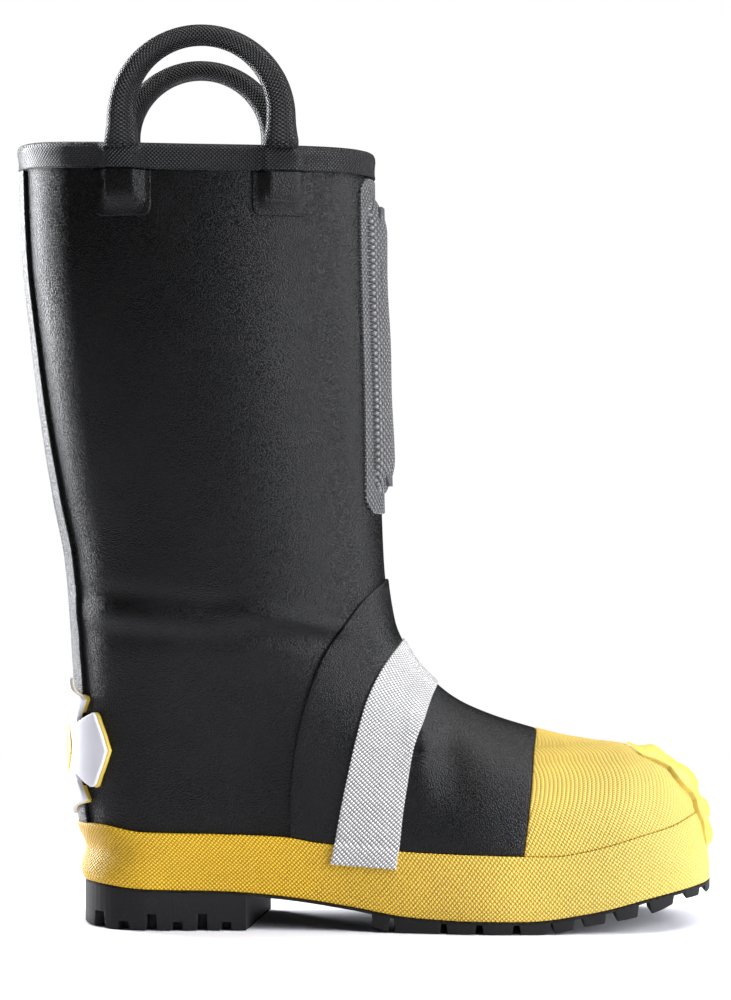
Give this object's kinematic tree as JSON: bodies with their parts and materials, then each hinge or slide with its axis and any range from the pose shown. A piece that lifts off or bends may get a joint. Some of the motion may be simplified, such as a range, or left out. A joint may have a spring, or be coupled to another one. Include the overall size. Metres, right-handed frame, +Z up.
{
  "type": "fire boot",
  "caption": "Knee-high rubber firefighting pull-on boot for the right foot, with yellow capped toe and foxing, reflective strap, shin pad, lugged sole and moulded pull handles.",
  "frame": {"origin": "on the ground under the middle of the boot's bounding box, between its heel and toe and between its two pull handles", "axes": "+Z up the shaft, +X towards the toe, +Y towards the inner side of the foot, so the outer side faces -Y"},
  "size_m": [0.3579, 0.1296, 0.4512],
  "materials": {
    "outsole_rubber": "matte lugged rubber",
    "yellow_rubber": "fine diamond-textured rubber",
    "smooth_yellow_rubber": "smooth satin rubber",
    "black_rubber": "fine pebbled satin rubber",
    "smooth_black_rubber": "smooth satin rubber",
    "knurled_black_rubber": "diamond-textured rubber",
    "pad_rubber": "raised diamond-textured rubber",
    "edge_rubber": "matte rubber",
    "reflective_tape": "retroreflective, fine diamond texture",
    "badge_white": "satin",
    "badge_gold": "satin metallic",
    "steel": "bare",
    "cork_filler": "ground cork",
    "fibreboard": "matte board",
    "counter_board": "fibre-reinforced board",
    "lining_felt": "needled felt",
    "footbed_foam": "fabric-topped foam",
    "pad_foam": "closed-cell foam"
  },
  "bodies": {
    "boot": {"outsole": "outsole_rubber", "foxing_band": "yellow_rubber", "upper_shell": "black_rubber", "puncture_plate": "steel", "shank": "steel", "bottom_filler": "cork_filler", "insole_board": "fibreboard", "lining": "lining_felt", "steel_toe_cap": "steel", "toe_cap_edge_strip": "edge_rubber", "heel_counter": "counter_board", "vamp_overlay": "smooth_black_rubber", "toe_cover": "yellow_rubber", "toe_bumper": "smooth_yellow_rubber", "reflective_strip": "reflective_tape", "back_stay": "black_rubber", "heel_badge_base": "smooth_yellow_rubber", "heel_badge_face": "badge_white", "heel_badge_disc": "badge_gold", "shin_pad_core": "pad_foam", "shin_pad_cover": "pad_rubber", "top_binding": "knurled_black_rubber", "handle_foot_outer_rear": "smooth_black_rubber", "handle_patch_outer_rear": "black_rubber", "handle_foot_outer_front": "smooth_black_rubber", "handle_patch_outer_front": "black_rubber", "handle_foot_inner_rear": "smooth_black_rubber", "handle_patch_inner_rear": "black_rubber", "handle_foot_inner_front": "smooth_black_rubber", "handle_patch_inner_front": "black_rubber"},
    "handle_outer": {"pull_handle_outer": "knurled_black_rubber"},
    "handle_inner": {"pull_handle_inner": "knurled_black_rubber"},
    "footbed": {"footbed": "footbed_foam"}
  },
  "joints": [
    {"name": "outer_handle_bend", "type": "hinge", "parent": "boot", "child": "handle_outer", "pos_m": [-0.0813, -0.06, 0.3992], "axis": [1, 0, 0], "range_deg": [-35, 35], "stiffness_Nm_per_rad": 0.5},
    {"name": "inner_handle_bend", "type": "hinge", "parent": "boot", "child": "handle_inner", "pos_m": [-0.0883, 0.06, 0.3992], "axis": [-1, 0, 0], "range_deg": [-35, 35], "stiffness_Nm_per_rad": 0.5},
    {"name": "footbed_lift", "type": "hinge", "parent": "boot", "child": "footbed", "pos_m": [0.161, 0, 0.038], "axis": [0, 1, 0], "range_deg": [0, 4.5]}
  ]
}
